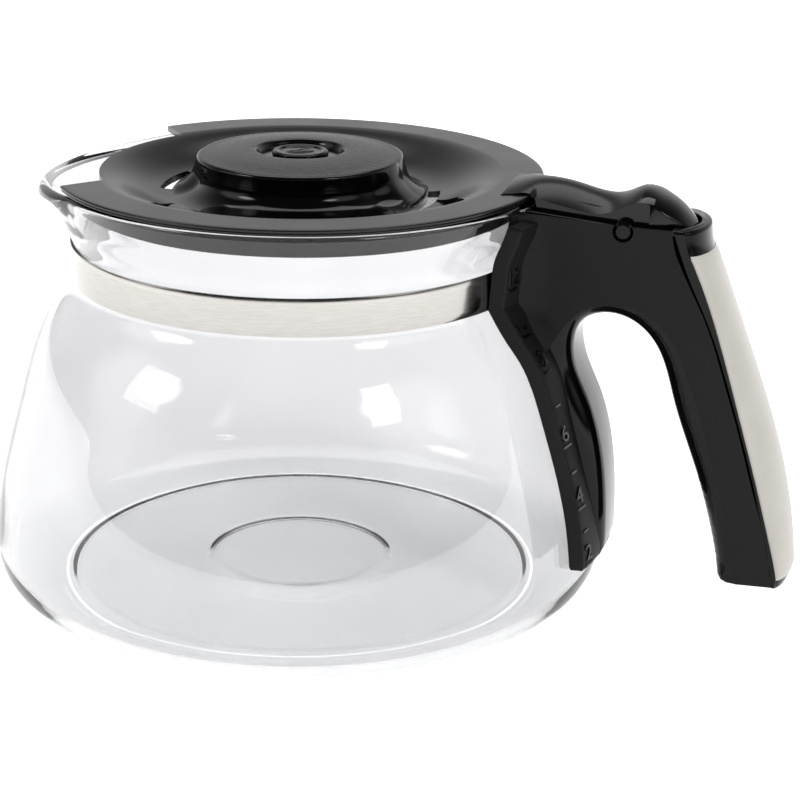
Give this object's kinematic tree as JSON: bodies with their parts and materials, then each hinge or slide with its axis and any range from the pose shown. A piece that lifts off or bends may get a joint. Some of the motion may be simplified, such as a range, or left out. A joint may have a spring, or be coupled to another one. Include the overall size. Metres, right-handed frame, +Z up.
{
  "type": "glass coffee jug",
  "caption": "Squat glass coffee jug with a steel neck band, an open-ended black handle with a pale inlay, and a hinged lid opened by a thumb lever.",
  "frame": {"origin": "on the jug's axis, in the plane of its standing ring", "axes": "+Z up, +X towards the handle, -X towards the spout"},
  "size_m": [0.2048, 0.155, 0.111],
  "materials": {
    "glass": "clear, polished",
    "band_steel": "polished",
    "fastener_steel": "plain",
    "black_plastic": "fine eroded matte with polished borders",
    "cream_plastic": "satin",
    "lid_plastic": "satin",
    "knob_plastic": "polished sides, grained top",
    "lever_plastic": "satin top, polished skirts"
  },
  "bodies": {
    "jug": {"glass_jug": "glass", "neck_band": "band_steel", "barrel_nut": "fastener_steel", "band_screw": "fastener_steel", "handle_shell": "black_plastic", "handle_spine": "black_plastic", "handle_inlay": "cream_plastic", "spine_screw_upper": "fastener_steel", "spine_screw_lower": "fastener_steel"},
    "lid": {"lid_disc": "lid_plastic", "lid_collar": "lid_plastic", "lid_knob": "knob_plastic", "knob_badge": "knob_plastic", "thumb_lever": "lever_plastic", "lever_screw_front": "fastener_steel", "lever_screw_rear": "fastener_steel", "hinge_pin": "black_plastic"}
  },
  "joints": [
    {"name": "lid_hinge", "type": "hinge", "parent": "jug", "child": "lid", "pos_m": [0.0821, 0, 0.0996], "axis": [0, 1, 0], "range_deg": [0, 80]}
  ]
}
